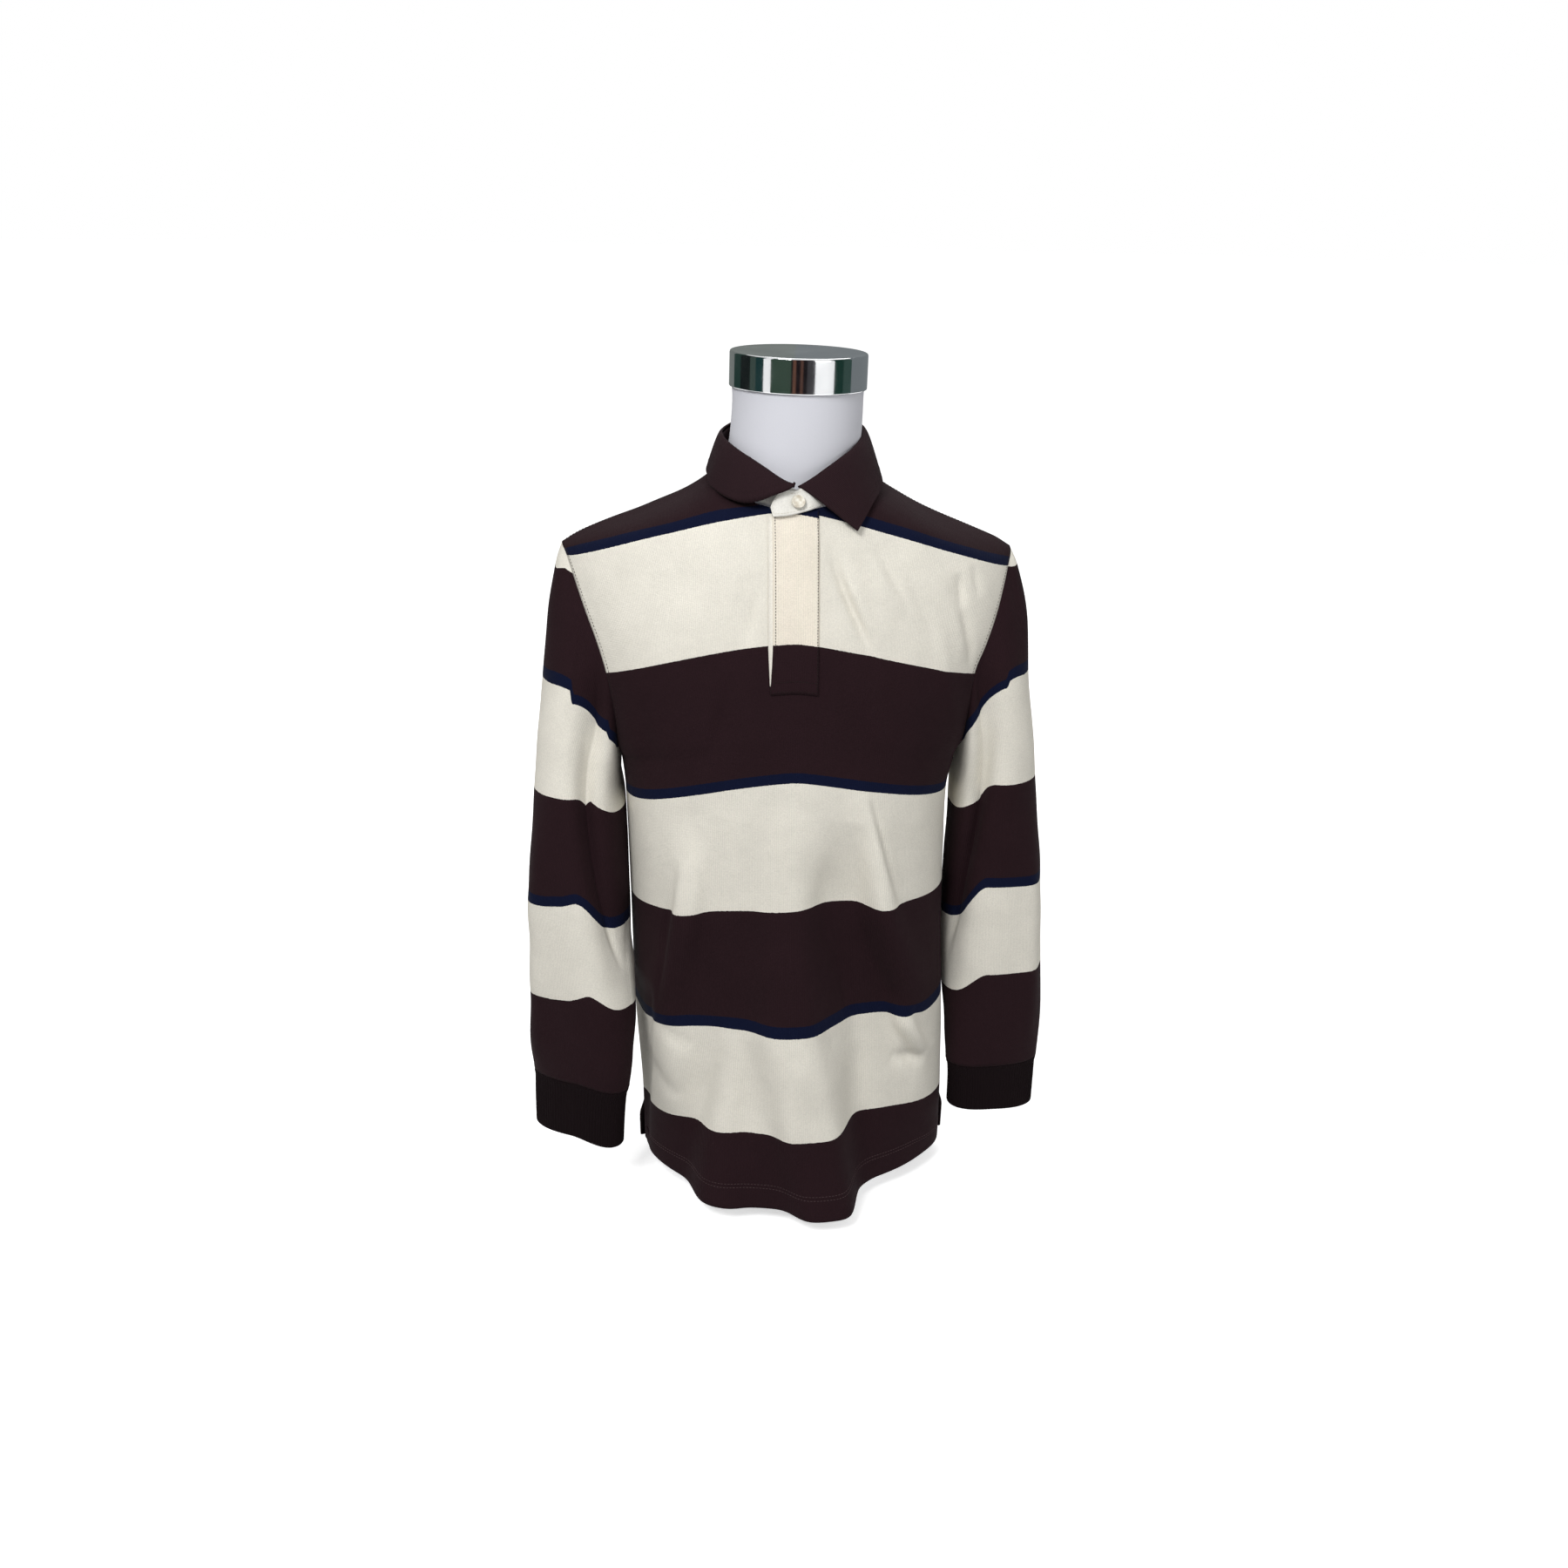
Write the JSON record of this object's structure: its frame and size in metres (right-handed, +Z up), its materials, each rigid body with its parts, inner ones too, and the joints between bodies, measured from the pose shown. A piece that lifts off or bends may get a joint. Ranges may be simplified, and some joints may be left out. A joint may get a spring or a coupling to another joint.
{
  "type": "long-sleeved polo shirt on a dress form",
  "caption": "Striped long-sleeved rugby polo shirt with rib cuffs, a soft collar and a buttoned placket, worn by a limbless counter-top dress form with a polished neck cap.",
  "frame": {"origin": "centre of the form's flat base, on the surface that it stands on", "axes": "+Z up along the form, +X to the wearer's left, front towards -Y"},
  "size_m": [0.5271, 0.2762, 0.8391],
  "materials": {
    "jersey": "heavy cotton jersey in wide brown and cream stripes with narrow navy lines",
    "collar_jersey": "dark brown cotton jersey, two ply",
    "rib": "dark brown knitted rib",
    "stand_twill": "cream cotton twill",
    "pearl": "pearly",
    "form_cover": "smooth white cover stretched over the form",
    "polished_metal": "mirror polished"
  },
  "bodies": {
    "root": {"front": "jersey", "back": "jersey", "sleeve_right": "jersey", "sleeve_left": "jersey", "cuff_right": "rib", "cuff_left": "rib", "collar_stand": "stand_twill", "collar_fall": "collar_jersey", "placket": "jersey", "placket_facing": "stand_twill", "button": "pearl", "form_torso": "form_cover", "form_cap": "polished_metal"}
  },
  "joints": []
}
